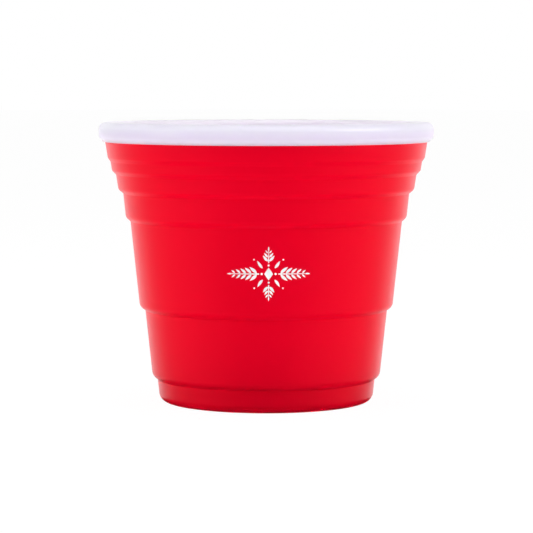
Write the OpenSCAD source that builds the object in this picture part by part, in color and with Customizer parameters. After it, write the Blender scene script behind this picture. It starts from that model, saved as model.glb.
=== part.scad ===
// Stepped shot cup: one moulding in two colours.
// A white cup with a rolled-looking solid rim carries a red outer skin that
// steps in six times from the rim to the foot. The two colours are bonded all
// over, so the cup is one solid. It stands on a narrow foot ring.
// Millimetres. +Z is up, and the origin is the middle of the foot, on the table.

/* [Overall size] */
// Diameter across the rim
rim_d = 57; // [55.5:0.1:58]
// Height from the table to the top of the rim
cup_h = 47.7; // [47.2:0.1:48.6]

/* [Rim] */
// Height of the rim's outer bead
rim_h = 3.4; // [3:0.1:3.8]
// How far the bead stands out past the wall under it
rim_overhang = 1.1; // [0.6:0.05:1.3]
// Rounding of the bead's upper outer edge
rim_top_round = 1.2; // [0.4:0.1:1.5]
// Rounding of the bead's underside
rim_under_round = 1.4; // [1.35:0.05:1.5]
// Rounding of the drinking edge, on the inside
rim_in_round = 0.8; // [0.2:0.1:1]

/* [Heights of the six step edges] */
// First edge, under the rim
step1_z = 41.7; // [41.4:0.05:42]
// Second edge
step2_z = 39.5; // [39.2:0.05:39.8]
// Third edge
step3_z = 36.3; // [35.6:0.05:37]
// Fourth edge
step4_z = 31.55; // [30:0.05:33]
// Fifth edge
step5_z = 16.4; // [12:0.05:20]
// Sixth edge, just above the foot
step6_z = 4.55; // [4.3:0.05:6]

/* [Depths of the six steps] */
// How far the first step goes in
step1_in = 0.47; // [0.3:0.01:0.9]
// How far the second step goes in
step2_in = 0.69; // [0.3:0.01:0.9]
// How far the third step goes in
step3_in = 0.82; // [0.4:0.01:1]
// How far the fourth step goes in
step4_in = 0.78; // [0.4:0.01:1.1]
// How far the fifth step goes in
step5_in = 0.94; // [0.4:0.01:1.1]
// How far the sixth step goes in
step6_in = 0.88; // [0.4:0.01:1.1]

/* [Shape of the wall] */
// Height that each step's sloping ledge takes up
ledge_drop = 0.69; // [0.4:0.01:0.8]
// Draft of the three short bands at the top, in degrees
upper_draft = 8.9; // [6:0.1:11]
// Draft of the four bands below them, in degrees
lower_draft = 6.1; // [4:0.1:8]
// Rounding of the first step's edge
first_edge_round = 0.5; // [0.2:0.05:0.7]
// Rounding of the sixth step's edge; those between go evenly from one to the other
last_edge_round = 1.45; // [0.5:0.05:1.6]
// Rounding where a ledge runs into the band below it
ledge_foot_round = 0.25; // [0.1:0.05:0.4]
// Rounding of the edge that the cup stands on
foot_round = 1.6; // [0.8:0.1:2]

/* [Thickness] */
// Thickness of the whole wall, both colours
wall_t = 2; // [1.6:0.1:2.2]
// Thickness of the red skin on the outside
skin_t = 1; // [0.6:0.1:1.1]
// Thickness of the base over the hollow under it
base_t = 2; // [1.6:0.1:2.4]
// Rounding inside, between the wall and the floor
floor_round = 1.5; // [0.5:0.1:1.7]

/* [Foot] */
// Radius of the shallow hollow under the base
hollow_r = 14.2; // [11:0.1:14.8]
// Depth of that hollow
hollow_h = 0.8; // [0.4:0.1:1]
// Rounding of the hollow's edges
hollow_round = 0.35; // [0.15:0.05:0.4]

/* [Smoothness] */
// Flat steps in each rounding of the section
round_steps = 8; // [4:1:12]
// Flats round the cup in the preview
facets = 240; // [96:24:360]

/* [Hidden] */

red = [0.85, 0.02, 0.15];
white = [0.94, 0.93, 0.96];

rim_r = rim_d / 2;
under_rim_r = rim_r - rim_overhang;
step_z = [step1_z, step2_z, step3_z, step4_z, step5_z, step6_z];
step_in = [step1_in, step2_in, step3_in, step4_in, step5_in, step6_in];
steps = len(step_z);

// The bead's underside is an arc that ends where it meets the wall.
under_centre = [rim_r - rim_under_round, cup_h - rim_h + rim_under_round];
under_sweep = acos((under_rim_r - under_centre.x) / rim_under_round);
under_arc = [for (k = [0 : 2 * round_steps])
    under_centre + rim_under_round
        * [cos(under_sweep * k / (2 * round_steps)), -sin(under_sweep * k / (2 * round_steps))]];
joint_z = under_centre.y - rim_under_round * sin(under_sweep);

// Draft, top and bottom radius of each band, counted from the rim down.
function draft(i) = i < 3 ? upper_draft : lower_draft;
function band_top_z(i) = i == 0 ? joint_z : step_z[i - 1] - ledge_drop;
function band_low_z(i) = i < steps ? step_z[i] : 0;
function band_top_r(i) = i == 0 ? under_rim_r : band_low_r(i - 1) - step_in[i - 1];
function band_low_r(i) = band_top_r(i) - (band_top_z(i) - band_low_z(i)) * tan(draft(i));
function edge_round(i) = first_edge_round
    + (last_edge_round - first_edge_round) * i / (steps - 1);

// Corners of the outer wall before rounding, from the rim down to the table:
// where each band ends, and where the next begins.
corners = [
    [band_top_r(0), band_top_z(0)],
    for (i = [0 : steps - 1]) each [
        [band_low_r(i), band_low_z(i)],
        [band_top_r(i + 1), band_top_z(i + 1)]],
    [band_low_r(steps), 0]];

function unit(v) = v / norm(v);
// Unit normal of a stretch of wall, towards the axis of the cup.
function inward(a, b) = let (d = unit(b - a)) [d.y, -d.x];
// The point at height z on the line through a and b.
function at_height(a, b, z) = a + (b - a) * (z - a.y) / (b.y - a.y);
// Corners of a wall moved in by t, each on the line that splits its angle.
function moved_in(path, t) = [for (i = [0 : len(path) - 1])
    let (before = inward(path[max(i - 1, 0)], path[max(i, 1)]),
         after = inward(path[min(i, len(path) - 2)], path[min(i + 1, len(path) - 1)]),
         split = unit(before + after))
    path[i] + split * t / (split * before)];
// The same corners, cut off level at the top and the bottom.
function between(path, top, low) = let (n = len(path)) [
    at_height(path[0], path[1], top),
    for (i = [1 : n - 2]) path[i],
    at_height(path[n - 2], path[n - 1], low)];
// Rounding of a wall's corners at a depth t under the outer face. An edge that
// stands out gets tighter with depth, and one that turns in gets wider.
function wall_round(i, t) = i == 0 || i == 2 * steps + 1 ? 0
    : i % 2 == 1 ? max(edge_round((i - 1) / 2) - t, 0.3)
    : ledge_foot_round + t;
function with_rounds(path, t) = [for (i = [0 : len(path) - 1])
    [path[i].x, path[i].y, wall_round(i, t)]];
function turned(path) = [for (i = [len(path) - 1 : -1 : 0]) path[i]];

// One rounded corner at p, between its neighbours a and b. Each is [r, z, rounding],
// and two roundings on one stretch share its length.
function corner(a, p, b) =
    let (q = [p.x, p.y], da = [a.x, a.y] - q, db = [b.x, b.y] - q,
         half = acos(unit(da) * unit(db)) / 2,
         reach = min(p.z / tan(half),
             norm(da) * 0.998 * p.z / (p.z + a.z), norm(db) * 0.998 * p.z / (p.z + b.z)),
         r = reach * tan(half),
         centre = q + unit(unit(da) + unit(db)) * r / sin(half),
         from = q + unit(da) * reach - centre,
         to = q + unit(db) * reach - centre,
         a0 = atan2(from.y, from.x),
         sweep = (atan2(to.y, to.x) - a0 + 540) % 360 - 180)
    [for (k = [0 : round_steps])
        centre + r * [cos(a0 + sweep * k / round_steps), sin(a0 + sweep * k / round_steps)]];
function rounded(path) = [for (i = [0 : len(path) - 1])
    let (p = path[i])
    each (p.z > 0 ? corner(path[i - 1], p, path[i + 1]) : [[p.x, p.y]])];

floor_z = hollow_h + base_t;
seam_floor_z = hollow_h + skin_t;
last = len(corners) - 1;

// Inner face of the cup, and the face where the two colours meet under it.
inner = with_rounds(between(moved_in(corners, wall_t), cup_h, floor_z), wall_t);
seam = with_rounds(between(moved_in(corners, skin_t), joint_z, seam_floor_z), skin_t);

// The white colour: floor, inner face, rim, and the seam back to the axis.
white_line = rounded(concat(
    [[0, floor_z, 0], [inner[last].x, floor_z, floor_round]],
    [for (i = [last - 1 : -1 : 1]) inner[i]],
    [[inner[0].x, cup_h, rim_in_round],
     [rim_r, cup_h, rim_top_round],
     [rim_r, under_centre.y, 0]]));
under_line = [for (k = [1 : len(under_arc) - 1]) under_arc[k]];
seam_line = rounded(concat(
    [for (i = [0 : last - 1]) seam[i]],
    [[seam[last].x, seam_floor_z, floor_round], [0, seam_floor_z, 0]]));
// The red colour: outer face, foot ring and hollow, closed along the seam.
red_line = rounded(concat(
    [for (i = [0 : last - 1]) [corners[i].x, corners[i].y, wall_round(i, 0)]],
    [[corners[last].x, 0, foot_round],
     [hollow_r + hollow_h / 3, 0, hollow_round],
     [hollow_r, hollow_h, hollow_round],
     [0, hollow_h, 0]]));

// White cup with the rim: the first colour of the moulding.
module white_inside() {
    color(white)
        rotate_extrude($fn = facets)
            polygon(concat(white_line, under_line, seam_line));
}

// Red skin over its outside, from the rim's underside to the foot.
module red_outside() {
    color(red)
        rotate_extrude($fn = facets)
            polygon(concat(red_line, turned(seam_line)));
}

// The whole moulding: both colours, bonded into one solid.
module cup() {
    union() {
        white_inside();
        red_outside();
    }
}

cup();
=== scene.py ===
"""Looks of a small stepped shot cup: red outside, white inside and at the rim,
with a white ornament printed on the front and a black panel on the back.
Everything is in metres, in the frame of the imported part."""

import math

import bmesh
import bpy
from mathutils import Matrix, Vector


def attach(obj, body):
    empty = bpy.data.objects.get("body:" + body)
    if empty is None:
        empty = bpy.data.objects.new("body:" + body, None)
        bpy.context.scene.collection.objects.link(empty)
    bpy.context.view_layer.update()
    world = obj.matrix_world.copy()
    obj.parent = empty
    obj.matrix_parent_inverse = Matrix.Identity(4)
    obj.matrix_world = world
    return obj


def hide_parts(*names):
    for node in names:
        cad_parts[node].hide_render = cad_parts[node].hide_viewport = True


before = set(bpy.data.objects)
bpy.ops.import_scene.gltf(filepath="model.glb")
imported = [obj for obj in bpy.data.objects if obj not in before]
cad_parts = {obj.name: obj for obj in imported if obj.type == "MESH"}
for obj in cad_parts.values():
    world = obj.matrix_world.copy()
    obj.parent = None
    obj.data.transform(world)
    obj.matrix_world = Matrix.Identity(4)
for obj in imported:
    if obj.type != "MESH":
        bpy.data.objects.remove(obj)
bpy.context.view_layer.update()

MM = 0.001
ROUND = 216  # flats round the cup


# ---------------------------------------------------------------- the section
# The same sizes as the part's own section, in millimetres.
RIM_R, CUP_H = 28.5, 47.7
RIM_H, OVERHANG = 3.4, 1.1
RIM_TOP_ROUND, RIM_UNDER_ROUND, RIM_IN_ROUND = 1.2, 1.4, 0.8
STEP_Z = [41.7, 39.5, 36.3, 31.55, 16.4, 4.55]
STEP_IN = [0.47, 0.69, 0.82, 0.78, 0.94, 0.88]
LEDGE_DROP = 0.69
UPPER_DRAFT, LOWER_DRAFT = 8.9, 6.1
FIRST_EDGE, LAST_EDGE, LEDGE_FOOT, FOOT_ROUND = 0.5, 1.45, 0.25, 1.6
WALL, SKIN, BASE, FLOOR_ROUND = 2.0, 1.0, 2.0, 1.5
HOLLOW_R, HOLLOW_H, HOLLOW_ROUND = 14.2, 0.8, 0.35
STEPS = len(STEP_Z)

under_r = RIM_R - OVERHANG
under_centre = (RIM_R - RIM_UNDER_ROUND, CUP_H - RIM_H + RIM_UNDER_ROUND)
under_sweep = math.acos((under_r - under_centre[0]) / RIM_UNDER_ROUND)
joint_z = under_centre[1] - RIM_UNDER_ROUND * math.sin(under_sweep)
floor_z = HOLLOW_H + BASE
seam_z = HOLLOW_H + SKIN

corners = [(under_r, joint_z)]
r, z = under_r, joint_z
for i in range(STEPS + 1):
    low = STEP_Z[i] if i < STEPS else 0.0
    r -= (z - low) * math.tan(math.radians(UPPER_DRAFT if i < 3 else LOWER_DRAFT))
    corners.append((r, low))
    if i < STEPS:
        r, z = r - STEP_IN[i], low - LEDGE_DROP
        corners.append((r, z))


def wall_r(height):
    """Outer radius of the wall at a height, between the rim and the foot, without its roundings."""
    for (ra, za), (rb, zb) in zip(corners, corners[1:]):
        if za >= height >= zb:
            return ra + (rb - ra) * (za - height) / (za - zb)
    return corners[-1][0]


def inward(a, b):
    d = Vector(b) - Vector(a)
    d.normalize()
    return Vector((d.y, -d.x))


def moved_in(path, t):
    out, n = [], len(path)
    for i in range(n):
        before = inward(path[max(i - 1, 0)], path[max(i, 1)])
        after = inward(path[min(i, n - 2)], path[min(i + 1, n - 1)])
        split = (before + after).normalized()
        out.append(Vector(path[i]) + split * (t / split.dot(before)))
    return out


def at_height(a, b, z):
    a, b = Vector(a), Vector(b)
    return a + (b - a) * ((z - a.y) / (b.y - a.y))


def between(path, top, low):
    return [at_height(path[0], path[1], top), *path[1:-1], at_height(path[-2], path[-1], low)]


def wall_round(i, t):
    if i == 0 or i == 2 * STEPS + 1:
        return 0.0
    if i % 2:
        edge = FIRST_EDGE + (LAST_EDGE - FIRST_EDGE) * ((i - 1) // 2) / (STEPS - 1)
        return max(edge - t, 0.3)
    return LEDGE_FOOT + t


def rounded(path, fine=1.0, gap=1.2):
    """The path (r, z, rounding) with its corners rounded. Straight stretches get a ring close to
    each end and one about every gap, so that smooth shading stays true on them."""
    ends = []
    for i, p in enumerate(path):
        q = Vector(p[:2])
        if p[2] <= 0:
            ends.append((q, [q], q))
            continue
        da, db = Vector(path[i - 1][:2]) - q, Vector(path[i + 1][:2]) - q
        la, lb = da.length, db.length
        da.normalize()
        db.normalize()
        half = math.acos(max(-1.0, min(1.0, da.dot(db)))) / 2
        reach = min(
            p[2] / math.tan(half),
            la * 0.998 * p[2] / (p[2] + path[i - 1][2]),
            lb * 0.998 * p[2] / (p[2] + path[i + 1][2]),
        )
        rad = reach * math.tan(half)
        centre = q + (da + db).normalized() * (rad / math.sin(half))
        a, b = q + da * reach - centre, q + db * reach - centre
        a0 = math.atan2(a.y, a.x)
        sweep = (math.atan2(b.y, b.x) - a0 + 3 * math.pi) % (2 * math.pi) - math.pi
        n = max(3, round(fine * (3 + abs(math.degrees(sweep)) / 9)))
        arc = [
            centre + rad * Vector((math.cos(a0 + sweep * k / n), math.sin(a0 + sweep * k / n)))
            for k in range(n + 1)
        ]
        ends.append((arc[0], arc, arc[-1]))
    out = []
    for i, (_first, points, last) in enumerate(ends):
        out += points
        if i + 1 < len(ends):
            nxt = ends[i + 1][0]
            length = (nxt - last).length
            if length < 0.12:
                continue
            near = min(0.05, length / 4)
            stops = [near / length]
            n = max(1, round((length - 2 * near) / gap))
            stops += [(near + (length - 2 * near) * k / n) / length for k in range(1, n)]
            stops.append(1 - near / length)
            out += [last + (nxt - last) * s for s in stops]
    clean = [out[0]]
    for p in out[1:]:
        if (p - clean[-1]).length > 1e-5:
            clean.append(p)
    return clean


inner = between(moved_in(corners, WALL), CUP_H, floor_z)
seam = between(moved_in(corners, SKIN), joint_z, seam_z)
last = len(corners) - 1

white_line = rounded(
    [(0, floor_z, 0), (inner[last].x, floor_z, FLOOR_ROUND)]
    + [(inner[i].x, inner[i].y, wall_round(i, WALL)) for i in range(last - 1, 0, -1)]
    + [
        (inner[0].x, CUP_H, RIM_IN_ROUND),
        (RIM_R, CUP_H, RIM_TOP_ROUND),
        (RIM_R, under_centre[1], 0),
    ],
    1.5,
)
under_line = [
    Vector(under_centre)
    + RIM_UNDER_ROUND * Vector((math.cos(under_sweep * k / 20), -math.sin(under_sweep * k / 20)))
    for k in range(1, 21)
]
seam_line = rounded(
    [(seam[i].x, seam[i].y, wall_round(i, SKIN)) for i in range(last)]
    + [(seam[last].x, seam_z, FLOOR_ROUND), (0, seam_z, 0)],
    0.5,
    8.0,
)
# The mark that the mould's gate leaves, in the middle of the hollow underneath.
gate = [(3.1, HOLLOW_H, 0.12), (2.8, HOLLOW_H + 0.22, 0.12), (0.75, HOLLOW_H + 0.22, 0.12),
        (0.62, HOLLOW_H - 0.1, 0.15), (0, HOLLOW_H - 0.1, 0)]
red_line = rounded(
    [(corners[i][0], corners[i][1], wall_round(i, 0)) for i in range(last)]
    + [
        (corners[last][0], 0, FOOT_ROUND),
        (HOLLOW_R + HOLLOW_H / 3, 0, HOLLOW_ROUND),
        (HOLLOW_R, HOLLOW_H, HOLLOW_ROUND),
    ]
    + gate,
    1.5,
)


def lathe(name, line):
    """A closed body of revolution from a section (r, z) in millimetres, from the axis and back to it."""
    bm = bmesh.new()
    rings = []
    for p in line:
        if p.x < 1e-6:
            rings.append([bm.verts.new((0, 0, p.y * MM))])
        else:
            rings.append([
                bm.verts.new((
                    p.x * MM * math.cos(2 * math.pi * k / ROUND),
                    p.x * MM * math.sin(2 * math.pi * k / ROUND),
                    p.y * MM,
                ))
                for k in range(ROUND)
            ])
    for a, b in zip(rings, rings[1:]):
        for k in range(ROUND):
            m = (k + 1) % ROUND
            if len(a) == 1:
                bm.faces.new((a[0], b[m], b[k]))
            elif len(b) == 1:
                bm.faces.new((a[k], a[m], b[0]))
            else:
                bm.faces.new((a[k], a[m], b[m], b[k]))
    bmesh.ops.recalc_face_normals(bm, faces=bm.faces)
    if bm.calc_volume(signed=True) < 0:
        bmesh.ops.reverse_faces(bm, faces=bm.faces)
    for f in bm.faces:
        f.smooth = True
    for e in bm.edges:
        if len(e.link_faces) == 2 and e.calc_face_angle() > math.radians(35):
            e.smooth = False
    mesh = bpy.data.meshes.new(name)
    bm.to_mesh(mesh)
    bm.free()
    ob = bpy.data.objects.new(name, mesh)
    bpy.context.scene.collection.objects.link(ob)
    return ob


# ---------------------------------------------------------------- materials
def new_material(name):
    mat = bpy.data.materials.new(name)
    mat.use_nodes = True
    tree = mat.node_tree
    return mat, tree, tree.nodes["Principled BSDF"]


def link(tree, a, b):
    tree.links.new(a, b)


def moulded(name, dark, light, rough, spec, tint=None, wave=0.0):
    """Smooth moulded plastic: a faint cloudiness in the colour, and a skin whose gloss and
    level vary a little, as a polished mould leaves them."""
    mat, tree, bsdf = new_material(name)
    nodes = tree.nodes
    coords = nodes.new("ShaderNodeTexCoord")
    cloud = nodes.new("ShaderNodeTexNoise")
    cloud.inputs["Scale"].default_value = 55.0
    cloud.inputs["Detail"].default_value = 3.0
    link(tree, coords.outputs["Object"], cloud.inputs["Vector"])
    ramp = nodes.new("ShaderNodeValToRGB")
    ramp.color_ramp.elements[0].position = 0.3
    ramp.color_ramp.elements[0].color = (*dark, 1)
    ramp.color_ramp.elements[1].position = 0.7
    ramp.color_ramp.elements[1].color = (*light, 1)
    link(tree, cloud.outputs["Fac"], ramp.inputs["Fac"])
    link(tree, ramp.outputs["Color"], bsdf.inputs["Base Color"])
    skin = nodes.new("ShaderNodeTexNoise")
    skin.inputs["Scale"].default_value = 420.0
    skin.inputs["Detail"].default_value = 2.0
    link(tree, coords.outputs["Object"], skin.inputs["Vector"])
    gloss = nodes.new("ShaderNodeMapRange")
    gloss.inputs["From Min"].default_value = 0.3
    gloss.inputs["From Max"].default_value = 0.7
    gloss.inputs["To Min"].default_value = rough - 0.02
    gloss.inputs["To Max"].default_value = rough + 0.02
    link(tree, skin.outputs["Fac"], gloss.inputs["Value"])
    link(tree, gloss.outputs["Result"], bsdf.inputs["Roughness"])
    if wave:
        bump = nodes.new("ShaderNodeBump")
        bump.inputs["Strength"].default_value = wave
        bump.inputs["Distance"].default_value = 0.0001
        link(tree, skin.outputs["Fac"], bump.inputs["Height"])
        link(tree, bump.outputs["Normal"], bsdf.inputs["Normal"])
    bsdf.inputs["IOR"].default_value = 1.49
    bsdf.inputs["Specular IOR Level"].default_value = spec
    return mat


red_mat = moulded("red_plastic", (0.81, 0.0008, 0.0165), (0.83, 0.0010, 0.0185), 0.32, 0.5)
white_mat = moulded("white_plastic", (0.800, 0.775, 0.880), (0.812, 0.787, 0.890), 0.32, 0.5)
# The white is a little translucent, so the rim glows evenly from edge to edge.
bsdf = white_mat.node_tree.nodes["Principled BSDF"]
bsdf.inputs["Subsurface Weight"].default_value = 0.7
bsdf.inputs["Subsurface Radius"].default_value = (1.0, 0.95, 1.0)
bsdf.inputs["Subsurface Scale"].default_value = 0.0016
# Painted light on the white. Round the outside of the rim the colour changes with height: painted pink across the
# middle of the bead, a painted reflection of the red wall below it, and painted lighter at the bead's underside, a
# painted light where the lamps leave it dark. The inner face is painted lighter still.
nodes, tree = white_mat.node_tree.nodes, white_mat.node_tree
ramp = next(n for n in nodes if n.type == "VALTORGB")
coords = next(n for n in nodes if n.type == "TEX_COORD")
split = nodes.new("ShaderNodeSeparateXYZ")
link(tree, coords.outputs["Object"], split.inputs["Vector"])
low = nodes.new("ShaderNodeMapRange")
low.inputs["From Min"].default_value = 0.0442
low.inputs["From Max"].default_value = 0.0468
link(tree, split.outputs["Z"], low.inputs["Value"])
# Painted reflection and painted light: the rim's colours by height, pink across the middle of the bead and lighter at
# its underside.
painted_rim_light_ramp = nodes.new("ShaderNodeValToRGB")
painted_rim_light_ramp.color_ramp.interpolation = "EASE"
marks = painted_rim_light_ramp.color_ramp.elements
marks.new(0.28)
marks.new(0.5)
for mark, at, colour in zip(marks, (0.0, 0.28, 0.5, 1.0),
                            ((0.855, 0.80, 0.96), (0.845, 0.78, 0.945), (0.785, 0.717, 0.865), (0.800, 0.772, 0.880))):
    mark.position = at
    mark.color = (*colour, 1)
link(tree, low.outputs["Result"], painted_rim_light_ramp.inputs["Fac"])
away = nodes.new("ShaderNodeVectorMath")
away.operation = "LENGTH"
flat = nodes.new("ShaderNodeCombineXYZ")
link(tree, split.outputs["X"], flat.inputs["X"])
link(tree, split.outputs["Y"], flat.inputs["Y"])
link(tree, flat.outputs["Vector"], away.inputs[0])
outer = nodes.new("ShaderNodeMath")
outer.operation = "GREATER_THAN"
outer.inputs[1].default_value = 0.0268
link(tree, away.outputs["Value"], outer.inputs[0])
rind = nodes.new("ShaderNodeMath")
rind.operation = "LESS_THAN"
rind.inputs[1].default_value = 0.0468
link(tree, split.outputs["Z"], rind.inputs[0])
both = nodes.new("ShaderNodeMath")
both.operation = "MULTIPLY"
link(tree, rind.outputs["Value"], both.inputs[0])
link(tree, outer.outputs["Value"], both.inputs[1])
# Mixes the painted rim colours onto the outside of the rim, below its top.
tint = nodes.new("ShaderNodeMix")
tint.data_type = "RGBA"
link(tree, both.outputs["Value"], tint.inputs["Factor"])
link(tree, ramp.outputs["Color"], tint.inputs["A"])
link(tree, painted_rim_light_ramp.outputs["Color"], tint.inputs["B"])
# Painted light: the inner face gets a lighter white than the rest of the same plastic, where the lamps leave it too
# dark.
within = nodes.new("ShaderNodeMapRange")
within.inputs["From Min"].default_value = 0.0264
within.inputs["From Max"].default_value = 0.0272
within.inputs["To Min"].default_value = 1.0
within.inputs["To Max"].default_value = 0.0
link(tree, away.outputs["Value"], within.inputs["Value"])
painted_inside_light = nodes.new("ShaderNodeMix")
painted_inside_light.data_type = "RGBA"
link(tree, within.outputs["Result"], painted_inside_light.inputs["Factor"])
link(tree, tint.outputs["Result"], painted_inside_light.inputs["A"])
painted_inside_light.inputs["B"].default_value = (0.915, 0.86, 0.985, 1)
link(tree, painted_inside_light.outputs["Result"], bsdf.inputs["Base Color"])

# ---------------------------------------------------------------- the cup
white_cup = lathe("cup_white_inside", white_line + under_line + seam_line)
white_cup.data.materials.append(white_mat)
red_cup = lathe("cup_red_outside", list(reversed(seam_line)) + red_line)
red_cup.data.materials.append(red_mat)
for piece, slot in ((white_cup, "white_plastic"), (red_cup, "red_plastic")):
    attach(piece, "root")
    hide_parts("cup")


# ---------------------------------------------------------------- the prints
def ink(name, dark, light, rough):
    """Thin pad-printed ink: even, a little duller than the plastic, with a faint mottle."""
    mat, tree, bsdf = new_material(name)
    nodes = tree.nodes
    coords = nodes.new("ShaderNodeTexCoord")
    mottle = nodes.new("ShaderNodeTexNoise")
    mottle.inputs["Scale"].default_value = 900.0
    mottle.inputs["Detail"].default_value = 3.0
    link(tree, coords.outputs["Object"], mottle.inputs["Vector"])
    ramp = nodes.new("ShaderNodeValToRGB")
    ramp.color_ramp.elements[0].position = 0.35
    ramp.color_ramp.elements[0].color = (*dark, 1)
    ramp.color_ramp.elements[1].position = 0.6
    ramp.color_ramp.elements[1].color = (*light, 1)
    link(tree, mottle.outputs["Fac"], ramp.inputs["Fac"])
    link(tree, ramp.outputs["Color"], bsdf.inputs["Base Color"])
    gloss = nodes.new("ShaderNodeMapRange")
    gloss.inputs["From Min"].default_value = 0.3
    gloss.inputs["From Max"].default_value = 0.7
    gloss.inputs["To Min"].default_value = rough - 0.04
    gloss.inputs["To Max"].default_value = rough + 0.04
    link(tree, mottle.outputs["Fac"], gloss.inputs["Value"])
    link(tree, gloss.outputs["Result"], bsdf.inputs["Roughness"])
    return mat


white_ink = ink("white_print", (0.93, 0.93, 0.94), (0.98, 0.98, 0.99), 0.42)
black_ink = ink("black_print", (0.005, 0.005, 0.006), (0.010, 0.010, 0.011), 0.42)
black_ink.node_tree.nodes["Principled BSDF"].inputs["Specular IOR Level"].default_value = 0.25
red_ink = ink("red_print", (0.80, 0.0010, 0.0165), (0.83, 0.0012, 0.0185), 0.42)


class Print:
    """Ink shapes that lie on the wall. A shape is drawn flat in millimetres, x along the wall and
    y up it, round a middle at a side of the cup and a height, and becomes a thin closed shell."""

    def __init__(self, name, mat, slot, side, height, low, top):
        self.name, self.mat, self.slot = name, mat, slot
        self.side, self.height, self.low, self.top = side, height, low, top
        self.bm = bmesh.new()

    def on_wall(self, x, y, lift):
        slope = math.radians(LOWER_DRAFT)
        h = self.height + y * math.cos(slope)
        a = self.side + x / wall_r(self.height)
        r = wall_r(h) + lift * math.cos(slope)
        return (r * MM * math.cos(a), r * MM * math.sin(a), (h - lift * math.sin(slope)) * MM)

    def patch(self, edge_a, edge_b, across=2, closed=False):
        """A shape between two rows of as many points each."""
        n = len(edge_a)
        layers = []
        for lift in (self.low, self.top):
            rows = []
            for (ax, ay), (bx, by) in zip(edge_a, edge_b):
                rows.append([
                    self.bm.verts.new(self.on_wall(ax + (bx - ax) * k / across, ay + (by - ay) * k / across, lift))
                    for k in range(across + 1)
                ])
            layers.append(rows)
        low, top = layers
        spans = range(n) if closed else range(n - 1)
        new = []
        for i in spans:
            j = (i + 1) % n
            for k in range(across):
                new.append(self.bm.faces.new((top[i][k], top[j][k], top[j][k + 1], top[i][k + 1])))
                new.append(self.bm.faces.new((low[i][k], low[i][k + 1], low[j][k + 1], low[j][k])))
            new.append(self.bm.faces.new((low[i][0], low[j][0], top[j][0], top[i][0])))
            new.append(self.bm.faces.new((top[i][across], top[j][across], low[j][across], low[i][across])))
        if not closed:
            for i, flip in ((0, False), (n - 1, True)):
                for k in range(across):
                    quad = (low[i][k], top[i][k], top[i][k + 1], low[i][k + 1])
                    new.append(self.bm.faces.new(quad[::-1] if flip else quad))

    def lozenge(self, x, y, hw, hh, n=8):
        """A filled lozenge, very slightly blunt at its left and right ends."""
        ts = [-0.97 + 1.94 * k / n for k in range(n + 1)]
        self.patch([(x + hw * t, y + hh * (1 - abs(t))) for t in ts], [(x + hw * t, y - hh * (1 - abs(t))) for t in ts], 4)

    def leaf(self, x, y, angle, length, width, curl=0.0, n=12):
        """A leaf from its stalk at x, y, widest before its middle, and curled to the left of its
        own direction, or to the right where curl is less than nothing."""
        c, s = math.cos(angle), math.sin(angle)
        a, b = [], []
        for k in range(n + 1):
            t = 0.02 + 0.96 * k / n
            w = width / 2 * (math.sin(math.pi * t ** 0.82)) ** 0.9
            u, v = length * t, curl * length * t * t
            a.append((x + u * c - (v + w) * s, y + u * s + (v + w) * c))
            b.append((x + u * c - (v - w) * s, y + u * s + (v - w) * c))
        self.patch(a, b, 3)

    def stem(self, points, width):
        """A line of even width through the points, pointed at its far end."""
        a, b = [], []
        for i, p in enumerate(points):
            q, r = points[max(i - 1, 0)], points[min(i + 1, len(points) - 1)]
            dx, dy = r[0] - q[0], r[1] - q[1]
            size = math.hypot(dx, dy)
            w = width / 2 * (1 - 0.6 * i / (len(points) - 1))
            a.append((p[0] - dy / size * w, p[1] + dx / size * w))
            b.append((p[0] + dy / size * w, p[1] - dx / size * w))
        self.patch(a, b, 1)

    def spray(self, x, y, angle, length, pairs, leaf_length, leaf_width, opening=50, taper=0.5):
        """A straight stem with leaves in pairs that get smaller outwards and curl towards its tip,
        and one leaf at the tip."""
        c, s = math.cos(angle), math.sin(angle)
        n = max(8, round(length / 0.4))
        self.stem([(x + length * k / n * c, y + length * k / n * s) for k in range(n + 1)], 0.2)
        for k in range(pairs):
            u = length * (k + 0.35) / (pairs + 0.1)
            size = 1 - taper * k / max(pairs - 1, 1)
            for side in (1, -1):
                off = angle + side * math.radians(opening)
                self.leaf(x + u * c + 0.12 * math.cos(off), y + u * s + 0.12 * math.sin(off), off,
                          leaf_length * size, leaf_width * size, -0.14 * side)
        self.leaf(x + 0.97 * length * c, y + 0.97 * length * s, angle,
                  leaf_length * (1 - taper) * 1.15, leaf_width * (1 - taper))

    def dot(self, x, y, radius, n=12):
        ts = [math.pi * (0.04 + 0.92 * k / n) for k in range(n + 1)]
        self.patch([(x - radius * math.cos(t), y + radius * math.sin(t)) for t in ts],
                   [(x - radius * math.cos(t), y - radius * math.sin(t)) for t in ts], 2)

    def finish(self):
        bmesh.ops.recalc_face_normals(self.bm, faces=self.bm.faces)
        mesh = bpy.data.meshes.new(self.name)
        self.bm.to_mesh(mesh)
        self.bm.free()
        ob = bpy.data.objects.new(self.name, mesh)
        bpy.context.scene.collection.objects.link(ob)
        mesh.materials.append(self.mat)
        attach(ob, "root")
        return ob


FRONT, BACK = -math.pi / 2, math.pi / 2

# Front: four leaf sprays round a small lozenge, in white.
front = Print("front_ornament", white_ink, "white_print", FRONT + 0.4 / 22.6, 23.5, -0.02, 0.03)
front.lozenge(0, 0, 0.72, 1.05)
for turn in (1, -1):
    front.dot(turn * 1.12, 0, 0.19)
    front.spray(turn * 1.55, 0, 0 if turn > 0 else math.pi, 4.55, 5, 1.55, 0.50)
    front.dot(0, turn * 1.42, 0.17)
    front.spray(0, turn * 1.8, turn * math.pi / 2, 2.05, 3, 1.25, 0.44)
    for up in (1, -1):
        front.leaf(turn * 0.95, up * 0.95, math.atan2(up, turn), 1.5, 0.46, 0.16 * turn * up)
        front.dot(turn * 2.35, up * 2.35, 0.14)
prints = [front.finish()]


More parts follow.
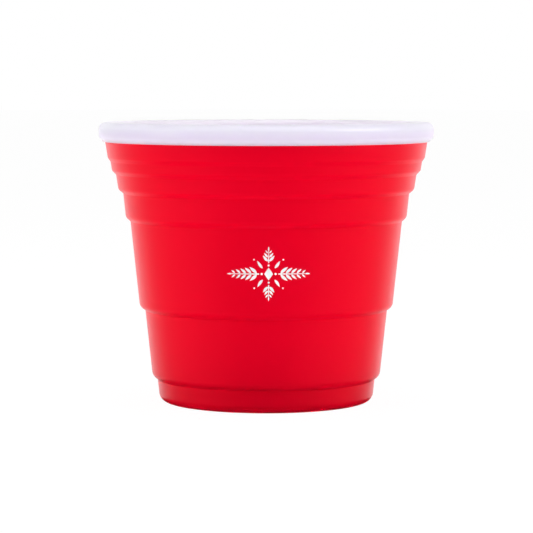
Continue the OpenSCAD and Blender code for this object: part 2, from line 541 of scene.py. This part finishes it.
def rounded_box(hw, hh, radius, per=6, gap=0.7):
    """Points round a box with rounded corners, with points along its straight sides too."""
    out = []
    for cx, cy, a0 in ((hw - radius, hh - radius, 0), (radius - hw, hh - radius, 90),
                       (radius - hw, radius - hh, 180), (hw - radius, radius - hh, 270)):
        out += [(cx + radius * math.cos(math.radians(a0 + 90 * k / per)), cy + radius * math.sin(math.radians(a0 + 90 * k / per)))
                for k in range(per + 1)]
    full = []
    for p, q in zip(out, out[1:] + out[:1]):
        n = max(1, round(math.dist(p, q) / gap))
        full += [(p[0] + (q[0] - p[0]) * k / n, p[1] + (q[1] - p[1]) * k / n) for k in range(n)]
    return full


# Back: a black panel with a white line round its edge and a leaf spray to each side of a red lozenge.
PANEL_W, PANEL_H, PANEL_R = 10.7, 4.5, 0.5
panel = Print("back_panel", black_ink, "black_print", BACK, 24.2, -0.02, 0.03)
xs = [-PANEL_W + PANEL_R * (1 - math.cos(math.radians(90 * k / 6))) for k in range(7)]
xs += [-PANEL_W + PANEL_R + 2 * (PANEL_W - PANEL_R) * k / 40 for k in range(1, 40)]
xs += [PANEL_W - PANEL_R * (1 - math.cos(math.radians(90 * k / 6))) for k in range(6, -1, -1)]


def half_height(x):
    over = max(0.0, abs(x) - (PANEL_W - PANEL_R))
    return PANEL_H - PANEL_R + math.sqrt(max(PANEL_R ** 2 - over ** 2, 0.0))


panel.patch([(x, half_height(x)) for x in xs], [(x, -half_height(x)) for x in xs], 16)
prints.append(panel.finish())

lines = Print("back_ornament", white_ink, "white_print", BACK, 24.2, 0.022, 0.045)
outer_line, inner_line = rounded_box(9.95, 3.75, 0.35), rounded_box(9.80, 3.60, 0.20)
lines.patch(outer_line, inner_line, 1, closed=True)
for turn in (1, -1):
    lines.dot(turn * 1.65, 0, 0.2)
    lines.spray(turn * 2.15, 0, 0 if turn > 0 else math.pi, 5.2, 6, 1.6, 0.5)
    lines.dot(0, turn * 2.15, 0.17)
    lines.dot(0, turn * 2.7, 0.11)
    for up in (1, -1):
        lines.leaf(turn * 0.95, up * 1.05, math.atan2(up, turn), 1.35, 0.42, 0.16 * turn * up)
        lines.dot(turn * 9.0, up * 2.8, 0.17)
prints.append(lines.finish())
middle = Print("back_lozenge", red_ink, "red_plastic", BACK, 24.2, 0.022, 0.045)
middle.lozenge(0, 0, 1.0, 1.45)
prints.append(middle.finish())

# ---------------------------------------------------------------- stage, light and camera
scene = bpy.context.scene
scene.view_settings.view_transform = "Standard"
scene.view_settings.look = "None"


# How strong each light is.
LEVELS = {
    "room": 1.1, "bounce": 1.28, "foot": 1.1, "shade": 0.031,
    "left": 1.71, "right": 1.84, "high": 1.16, "top": 1.2,
    "w_left": 2.46, "w_right": 2.75, "w_bounce": 0.89,
    "glint_right": 1.0, "glint_left": 0.55, "glint_top": 0.3,
}


def sheet_of(name, points, faces):
    mesh = bpy.data.meshes.new(name)
    mesh.from_pydata(points, [], faces)
    for f in mesh.polygons:
        f.use_smooth = True
    ob = bpy.data.objects.new(name, mesh)
    bpy.context.scene.collection.objects.link(ob)
    return ob


# A pale floor, almost white, that takes a faint shadow. It shows from above only, so that the
# underside of the cup can be looked at.
floor = sheet_of("floor", [(-4, -4, -2e-5), (4, -4, -2e-5), (4, 4, -2e-5), (-4, 4, -2e-5)], [(0, 1, 2, 3)])
floor_mat, tree, bsdf = new_material("floor_white")
bsdf.inputs["Base Color"].default_value = (0.07, 0.07, 0.07, 1)
bsdf.inputs["Roughness"].default_value = 0.9
bsdf.inputs["Specular IOR Level"].default_value = 0.0
bsdf.inputs["Emission Color"].default_value = (1, 1, 1, 1)
bsdf.inputs["Emission Strength"].default_value = 0.98
side = tree.nodes.new("ShaderNodeNewGeometry")
gone = tree.nodes.new("ShaderNodeBsdfTransparent")
either = tree.nodes.new("ShaderNodeMixShader")
link(tree, side.outputs["Backfacing"], either.inputs["Fac"])
link(tree, bsdf.outputs["BSDF"], either.inputs[1])
link(tree, gone.outputs["BSDF"], either.inputs[2])
link(tree, either.outputs["Shader"], tree.nodes["Material Output"].inputs["Surface"])
floor.data.materials.append(floor_mat)
floor.visible_glossy = False
floor.visible_diffuse = False
floor.visible_shadow = False

# Under the cup the floor is in its shade, and this is what the foot sees of it.
shade = sheet_of(
    "shade",
    [(LEVELS["shade"] * math.cos(2 * math.pi * k / 64), LEVELS["shade"] * math.sin(2 * math.pi * k / 64), -0.005) for k in range(64)],
    [tuple(range(64))],
)
shade_mat, tree, bsdf = new_material("floor_shade")
bsdf.inputs["Base Color"].default_value = (0.03, 0.03, 0.03, 1)
bsdf.inputs["Roughness"].default_value = 0.9
bsdf.inputs["Specular IOR Level"].default_value = 0.0
shade.data.materials.append(shade_mat)
shade.visible_camera = False

# The room: white behind the cup, falling off to dark round the camera and overhead.
world = bpy.data.worlds.new("studio")
scene.world = world
world.use_nodes = True
tree = world.node_tree
nodes = tree.nodes
back = nodes["Background"]
coords = nodes.new("ShaderNodeTexCoord")
split = nodes.new("ShaderNodeSeparateXYZ")
link(tree, coords.outputs["Generated"], split.inputs["Vector"])


def ramp_of(socket, low, high, stops):
    span = nodes.new("ShaderNodeMapRange")
    span.inputs["From Min"].default_value = low
    span.inputs["From Max"].default_value = high
    link(tree, socket, span.inputs["Value"])
    ramp = nodes.new("ShaderNodeValToRGB")
    ramp.color_ramp.interpolation = "EASE"
    marks = ramp.color_ramp.elements
    while len(marks) < len(stops):
        marks.new(0.5)
    for mark, (at, level) in zip(marks, stops):
        mark.position = at
        mark.color = (level, level, level, 1)
    link(tree, span.outputs["Result"], ramp.inputs["Fac"])
    return ramp.outputs["Color"]


round_cup = ramp_of(split.outputs["Y"], -1, 1, [(0.05, 0.0), (0.2, 0.06), (0.45, 0.1), (0.7, 0.16), (0.85, 0.5), (0.97, 1.0)])
up_down = ramp_of(split.outputs["Z"], -1, 1, [(0.14, 0.05), (0.30, 0.75), (0.38, 1.0), (0.5, 1.0), (0.72, 0.9), (0.92, 0.1)])
both = nodes.new("ShaderNodeMix")
both.data_type = "RGBA"
both.blend_type = "MULTIPLY"
both.inputs["Factor"].default_value = 1.0
link(tree, round_cup, both.inputs["A"])
link(tree, up_down, both.inputs["B"])
link(tree, both.outputs["Result"], back.inputs["Color"])
back.inputs["Strength"].default_value = LEVELS["room"]
seen = nodes.new("ShaderNodeBackground")
seen.inputs["Color"].default_value = (1, 1, 1, 1)
seen.inputs["Strength"].default_value = 1.0
path = nodes.new("ShaderNodeLightPath")
pick = nodes.new("ShaderNodeMixShader")
link(tree, path.outputs["Is Camera Ray"], pick.inputs["Fac"])
link(tree, back.outputs["Background"], pick.inputs[1])
link(tree, seen.outputs["Background"], pick.inputs[2])
link(tree, pick.outputs["Shader"], nodes["World Output"].inputs["Surface"])


def lit_by(light, pieces):
    """The light falls on these pieces only."""
    group = bpy.data.collections.new(light.name + "_on")
    for piece in pieces:
        group.objects.link(piece)
    light.light_linking.receiver_collection = group


def soft_light(name, azimuth, elevation, distance, width, height, power, glossy=False, diffuse=True, on=None):
    """A soft box that looks at the middle of the cup. Azimuth 0 is the camera's side."""
    data = bpy.data.lights.new(name, "AREA")
    data.shape = "RECTANGLE"
    data.size, data.size_y = width, height
    data.energy = power
    data.cycles.use_multiple_importance_sampling = glossy
    ob = bpy.data.objects.new(name, data)
    a, e = math.radians(azimuth), math.radians(elevation)
    aim = Vector((0, 0, 0.026))
    ob.location = aim + distance * Vector((math.sin(a) * math.cos(e), -math.cos(a) * math.cos(e), math.sin(e)))
    ob.rotation_euler = (aim - ob.location).to_track_quat("-Z", "Y").to_euler()
    bpy.context.scene.collection.objects.link(ob)
    ob.visible_glossy = glossy
    ob.visible_diffuse = diffuse
    ob.visible_camera = False
    if on:
        lit_by(ob, on)
    return ob


def floor_light(name, shape, size, height, level, on):
    """What the floor throws back up at the cup. Its brightness is the same all over."""
    data = bpy.data.lights.new(name, "AREA")
    data.shape, data.size = shape, size
    data.energy = level * math.pi * size * size * (math.pi / 4 if shape == "DISK" else 1)
    data.cycles.use_multiple_importance_sampling = False
    ob = bpy.data.objects.new(name, data)
    ob.location = (0, 0, height)
    ob.rotation_euler = (math.pi, 0, 0)
    bpy.context.scene.collection.objects.link(ob)
    ob.visible_glossy = False
    ob.visible_camera = False
    lit_by(ob, on)


outside = [red_cup] + prints
inside = [white_cup]
floor_light("floor_red", "SQUARE", 1.2, -0.007, LEVELS["bounce"], outside)
floor_light("floor_foot", "DISK", 0.038, -0.004, LEVELS["foot"], outside)
floor_light("floor_white", "SQUARE", 1.2, -0.007, LEVELS["w_bounce"], inside)
soft_light("key_left", -76, 6, 0.6, 0.3, 0.3, LEVELS["left"], on=outside)
soft_light("key_right", 76, 6, 0.6, 0.3, 0.3, LEVELS["right"], on=outside)
soft_light("high_front", 0, 55, 0.7, 0.2, 0.2, LEVELS["high"], on=outside)
soft_light("rim_left", -58, 18, 0.6, 0.7, 0.5, LEVELS["w_left"], on=inside)
soft_light("rim_right", 58, 18, 0.6, 0.7, 0.5, LEVELS["w_right"], on=inside)
soft_light("top", 0, 84, 0.5, 0.34, 0.34, LEVELS["top"])
soft_light("glint_top", 0, 84, 0.5, 0.34, 0.34, LEVELS["glint_top"], glossy=True, diffuse=False, on=inside)
soft_light("glint_right", 67, 26, 0.6, 0.36, 0.08, LEVELS["glint_right"], glossy=True, diffuse=False, on=inside)
soft_light("glint_left", -71, 10, 0.6, 0.10, 0.06, LEVELS["glint_left"], glossy=True, diffuse=False, on=inside)

cam_data = bpy.data.cameras.new("camera")
cam = bpy.data.objects.new("camera", cam_data)
scene.collection.objects.link(cam)
cam_data.sensor_width = 36.0
cam_data.lens = 2429 / 533 * 36
cam_data.clip_start, cam_data.clip_end = 0.01, 20
cam.location = (0, -0.4144, 0.05486)
level = Matrix.Rotation(math.radians(90 - 4.41), 3, "X") @ Matrix.Rotation(math.radians(0.03), 3, "Z")
cam.rotation_euler = level.to_euler()
cam_data.shift_x = 0.3 / 533
cam_data.shift_y = 0.6 / 533
scene.camera = cam
